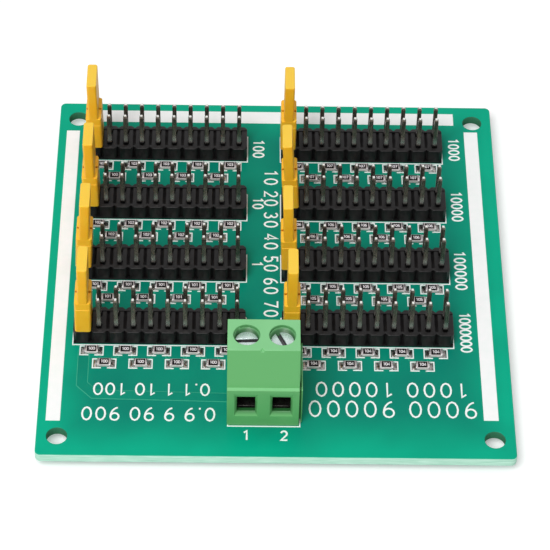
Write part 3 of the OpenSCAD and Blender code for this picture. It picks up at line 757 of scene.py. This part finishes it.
# Painted light and shade: faces that look up, above the funnels, take the lit green; upright faces and the
# low funnel floors take the darker painted-shade green.
high_up = climb(green_nylon, place[2], TOP + FUNNEL_H, TOP + FUNNEL_H + 1)
lit_facing = spread(green_nylon, facing_of(green_nylon), 0, 1, 0.35, 1)
lit_facing = reckon(green_nylon, "MULTIPLY", lit_facing, high_up)
# Painted shade: deep green down the walls of the screw wells and just inside the wire funnels.
from_wells = [from_spot(green_nylon, place, well) for well in screw_middles]
in_well = climb(green_nylon, reckon(green_nylon, "MINIMUM", *from_wells), WELL_RIM, WELL_RIM + 0.1, 1, 0)
in_well = reckon(green_nylon, "MULTIPLY", in_well,
                 climb(green_nylon, place[2], housing_top - 1, housing_top - 0.1, 0.95, 0.15))
in_funnel = climb(green_nylon, place[1], housing_front + 0.05, housing_front + 0.7)
between_sides = reckon(green_nylon, "LESS_THAN", aside(
    green_nylon, place[0], sum(well[0] for well in screw_middles) / 2), FUNNELS_HALF * MM)
in_funnel = reckon(green_nylon, "MULTIPLY", in_funnel, between_sides)
in_funnel = reckon(green_nylon, "MULTIPLY", in_funnel, reckon(green_nylon, "SUBTRACT", 1, high_up))
outside = mix_colours(green_nylon, lit_facing, shade(HOUSING_SHADED_SIDE),
                      blend_colours(green_nylon, cloud(green_nylon, 6), HOUSING_SHADE, HOUSING_GREEN))
painted_deep_shade = reckon(green_nylon, "MAXIMUM", in_well, in_funnel)
feed(green_nylon, shader.inputs["Base Color"], mix_colours(green_nylon, painted_deep_shade, outside, shade(HOUSING_DEEP_SHADE)))
wear(green_nylon, shader, 0.4, 0.32, 0.44)
emboss(green_nylon, shader, cloud(green_nylon, 0.15, 3), 0.005)


def off_the_step(middle):
    """True away from the narrow step inside each screw well, which stays sharp."""
    far = min(math.dist(middle[:2], well) for well in screw_middles)
    return abs(far - WELL_R) > 0.12 or middle.z > housing_top - 0.2


def low_tongue(solid):
    """Brings the top of the tongue on the right side down to where the next terminal's groove ends."""
    side = (screw_middles[1][0] + PITCH + 0.02) * MM
    for point in solid.verts:
        if point.co.x > side:
            point.co.z = min(point.co.z, (TOP + TONGUE_H) * MM)


softened("terminal_housing", "terminal_block", ROUND, green_nylon, "board",
         where=off_the_step, mend=low_tongue)
head_top = box_mm("terminal_screw_1")[1][2]
zinc, shader = new_finish("zinc_plate", 0.3, metallic=0.55)
# Painted shade: the zinc is painted a dull grey below the top of the head, in the slot and down the shank.
on_top = climb(zinc, place_of(zinc)[2], head_top - 0.22, head_top - 0.1)
plated = blend_colours(zinc, cloud(zinc, 0.8), ZINC_SHADE, ZINC_BRIGHT)
feed(zinc, shader.inputs["Base Color"], mix_colours(zinc, on_top, shade(SLOT_SHADE), plated))
wear(zinc, shader, 0.3, 0.22, 0.34)
emboss(zinc, shader, cloud(zinc, 0.5, 2, (1, 5, 1)), 0.003)
nickel, shader = new_finish("nickel_plate", 0.4, metallic=0.8)
mottle(nickel, shader, 0.8, NICKEL_DARK, NICKEL_GREY)
wear(nickel, shader, 0.3, 0.22, 0.4)
for pole in POLES:
    softened("terminal_screw_" + pole, "clamp_screw_" + pole, SCREW_ROUND, zinc, "screw_" + pole)
    softened("terminal_cage_" + pole, "clamp_cage_" + pole, METAL_ROUND, nickel, "cage_" + pole)
    softened("terminal_contact_" + pole, "contact_bar_" + pole, METAL_ROUND, tin, "board")

# Jumper caps: bright yellow moulded plastic with a tall flat handle. A bowed bronze spring clip inside
# joins the two pins. Each cap leans by a few degrees and sits a little to one side of them.
CAP_LIT_YELLOW = (254, 208, 72)
CAP_SHADED_SIDE = (255, 194, 46)
CAP_SHADED_ORANGE = (255, 186, 36)
MARK_SHADE = (206, 128, 14)
BRONZE_DULL = (196, 152, 88)
BRONZE_BRIGHT = (222, 184, 118)
GRIP_H = 2.7
CAP_HALF = 1.2
CAP_GAP = 0.03
# Degrees of lean and millimetres to the side, both towards +X.
LEAN = dict(zip(DECADES, (1.2, 2.6, -0.4, -0.6, 0, -1.8, -3.6, 0.3)))
SHIFT = dict(zip(DECADES, (0.26, -0.2, 0.22, 0.23, 0.12, -0.23, 0.02, -0.22)))
MARK_R = 0.2
MARK_H = 0.42
MARK_X = 0.95
MARK_WALL = 0.05
SHOULDER = (6.09, 6.13)
# Each ring's width, depth, corner radius and height, from the pocket's roof to the top of the handle.
CAP_RINGS = [
    (1.16, 3.58, 0.05, 6.3), (1.16, 3.58, 0.05, 5.2), (1.7, 4.3, 0.08, 5.19), (1.7, 4.3, 0.08, 0.15),
    (1.84, 4.44, 0.1, 0), (2.3, 5, 0.3, 0), (2.38, 5.08, 0.34, 0.03), (2.4, 5.1, 0.35, 0.08),
    (2.4, 5.1, 0.35, 4.72), (2.4, 5.07, 0.35, 4.77), (2.4, 4.96, 0.35, 4.8), (2.4, 4.94, 0.35, 4.85),
    (2.4, 4.94, 0.35, 6), (2.38, 4.93, 0.35, 6.06), (2.34, 4.91, 0.35, 6.095),
    (2.28, 4.9, 0.35, 6.1), (2.2, 4.9, 0.35, 6.103), (2.12, 4.9, 0.34, 6.106), (2.04, 4.9, 0.33, 6.109),
    (1.96, 4.9, 0.32, 6.112), (1.88, 4.9, 0.32, 6.115), (1.8, 4.9, 0.31, 6.118), (1.72, 4.9, 0.31, 6.121),
    (1.65, 4.9, 0.31, 6.125), (1.58, 4.91, 0.3, 6.14), (1.53, 4.93, 0.3, 6.18), (1.52, 4.94, 0.3, 6.28),
    (1.52, 4.94, 0.3, 13.08), (1.49, 4.91, 0.3, 13.2), (1.41, 4.83, 0.28, 13.27), (1.29, 4.7, 0.25, 13.3)]


def cap_shape(lean, place):
    """Rounded rectangles from the pin pocket's roof down its walls, round the lower edge, up the outside,
    over the shoulders, where a round mark is pressed in beside the handle, and up the handle. The whole
    leans about the grip by a turn about Y. Also tells which points lie in a mark."""
    width, depth, corner, height = np.array(CAP_RINGS).T[:, :, None]
    turn = np.radians(np.concatenate([start + np.linspace(0, 90, 5) for start in (0, 90, 180, 270)]))
    side_x = np.repeat([1, -1, -1, 1], 5)
    side_y = np.repeat([1, 1, -1, -1], 5)
    x = side_x * (width / 2 - corner) + corner * np.cos(turn)
    y = side_y * (depth / 2 - corner) + corner * np.sin(turn)
    along = np.array([-0.21, -0.17, -0.12, -0.06, 0, 0.06, 0.12, 0.17, 0.21])
    flat_x = np.broadcast_to(width / 2, (len(width), len(along)))
    flat_y = np.broadcast_to(along, flat_x.shape)
    x = np.hstack([x[:, :10], -flat_x, x[:, 10:], flat_x])
    y = np.hstack([y[:, :10], -flat_y, y[:, 10:], flat_y])
    z = np.broadcast_to(height, x.shape)
    far = np.hypot(np.abs(x) - MARK_X, y)
    in_mark = ((height > SHOULDER[0]) & (height < SHOULDER[1]) & (far < MARK_R)).astype(float)
    z = z - MARK_H * in_mark * np.clip((MARK_R - far) / MARK_WALL, 0, 1) - GRIP_H
    tilt = math.radians(lean)
    leaned_x = x * math.cos(tilt) + z * math.sin(tilt)
    leaned_z = z * math.cos(tilt) - x * math.sin(tilt)
    return loft(np.stack([leaned_x, y, leaned_z], -1) + place), in_mark.ravel()


yellow, shader = new_finish("yellow_plastic", 0.36, specular=0.3)
shader.inputs["Subsurface Weight"].default_value = 0.25
shader.inputs["Subsurface Radius"].default_value = (1, 0.35, 0.1)
shader.inputs["Subsurface Scale"].default_value = 0.5 * MM
# Painted light and shade: faces that look up take the lit yellow, more so higher on the cap; upright faces
# and low upward faces such as the shoulders take a deeper orange as painted shade, which drifts in soft
# patches.
above = climb(yellow, place_of(yellow)[2], header_top + 6.3, header_top + 8, 0.25, 1)
lit_facing = reckon(yellow, "MULTIPLY", spread(yellow, facing_of(yellow), 0, 1, 0.2, 0.8), above)
side = blend_colours(yellow, cloud(yellow, 3), CAP_SHADED_ORANGE, CAP_SHADED_SIDE)
cap_lit_and_shaded = mix_colours(yellow, lit_facing, side, shade(CAP_LIT_YELLOW))
# Painted shade: each pressed-in mark is painted a darker orange.
marked = add(yellow, "Attribute", {"attribute_name": "in_mark"}).outputs["Fac"]
feed(yellow, shader.inputs["Base Color"], mix_colours(yellow, marked, cap_lit_and_shaded, shade(MARK_SHADE)))
wear(yellow, shader, 0.4, 0.28, 0.42)
emboss(yellow, shader, cloud(yellow, 0.15, 3), 0.005)
bronze, shader = new_finish("phosphor_bronze", 0.28, metallic=1.0)
mottle(bronze, shader, 0.6, BRONZE_DULL, BRONZE_BRIGHT)
wear(bronze, shader, 0.15, 0.2, 0.4, (1, 1, 5))
for decade, middle in header_middles.items():
    raised = CAP_GAP + CAP_HALF * math.sin(math.radians(abs(LEAN[decade])))
    rest_z = box_mm("header_" + decade)[1][2] + raised
    place = (middle[0] - last_pin + SHIFT[decade], middle[1], rest_z + GRIP_H)
    part, in_mark = cap_shape(LEAN[decade], place)
    cap = make("jumper_cap_" + decade, part, yellow, "jumper_" + decade, "cap_plastic", "cap_" + decade,
               crease=35)
    cap.data.attributes.new("in_mark", "FLOAT", "POINT").data.foreach_set("value", in_mark)
    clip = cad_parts["clip_" + decade].data
    clip.materials.clear()
    clip.materials.append(bronze)

# Table top, soft light from all round, as much again from a soft box in front on the left, and the camera,
# which looks down at the board from the front at 48 degrees through a long lens.
FLOOR_HALF = 1.5
SKY = 0.42
LAMP_PLACE = (-0.19, -0.36, 0.62)
LAMP_WATTS = 3.85
LAMP_W = 0.4
TABLE_SHADE = (236, 236, 236)
TABLE_PALE = (240, 240, 240)
LENS_MM = 167.8
SENSOR_MM = 36
CAMERA_PLACE = (-0.00555, -0.26033, 0.29134)
CAMERA_RIGHT = (0.9998, -0.0013, 0.0176)
CAMERA_UP = (-0.0108, 0.7451, 0.6669)
CAMERA_FORWARD = (0.0139, 0.667, -0.745)

table_white, shader = new_finish("table_white", 0.9, specular=0.1)
seen = add(table_white, "LightPath").outputs["Is Camera Ray"]
mottle(table_white, shader, 80, TABLE_SHADE, TABLE_PALE)
feed(table_white, shader.inputs["Emission Color"], (1, 1, 1, 1))
feed(table_white, shader.inputs["Emission Strength"], spread(table_white, seen, 0, 0.3, 0, 1))
floor_z = cad_bounds[0][2]
floor_mesh = bpy.data.meshes.new("table_top")
floor_mesh.from_pydata([(x, y, floor_z) for x, y in oblong((0, 0), FLOOR_HALF, FLOOR_HALF).tolist()], [],
                       [(0, 1, 2, 3)])
floor_mesh.materials.append(table_white)
floor = bpy.data.objects.new("table_top", floor_mesh)
bpy.context.scene.collection.objects.link(floor)

world = bpy.data.worlds.new("studio")
world.use_nodes = True
bpy.context.scene.world = world
sky = world.node_tree.nodes["Background"]
sky.inputs["Color"].default_value = (1, 1, 1, 1)
ray = add(world, "LightPath").outputs
bright = reckon(world, "MAXIMUM", ray["Is Camera Ray"], ray["Is Glossy Ray"])
bright = reckon(world, "MAXIMUM", bright, ray["Is Transmission Ray"])
feed(world, sky.inputs["Strength"], spread(world, bright, SKY, 1, 0, 1))

lamp = bpy.data.lights.new("soft_box", "AREA")
lamp.shape = "SQUARE"
lamp.size = LAMP_W
lamp.energy = LAMP_WATTS
soft_box = bpy.data.objects.new("soft_box", lamp)
aim = Vector(LAMP_PLACE).to_track_quat("Z", "Y").to_matrix().to_4x4()
soft_box.matrix_world = Matrix.Translation(LAMP_PLACE) @ aim
bpy.context.scene.collection.objects.link(soft_box)

lens = bpy.data.cameras.new("camera")
lens.lens = LENS_MM
lens.sensor_width = SENSOR_MM
lens.clip_start = 0.01
camera = bpy.data.objects.new("camera", lens)
turn = Matrix((CAMERA_RIGHT, CAMERA_UP, [-part for part in CAMERA_FORWARD])).transposed()
camera.matrix_world = Matrix.Translation(CAMERA_PLACE) @ turn.to_4x4()
bpy.context.scene.collection.objects.link(camera)
bpy.context.scene.camera = camera
bpy.context.scene.view_settings.view_transform = "Standard"
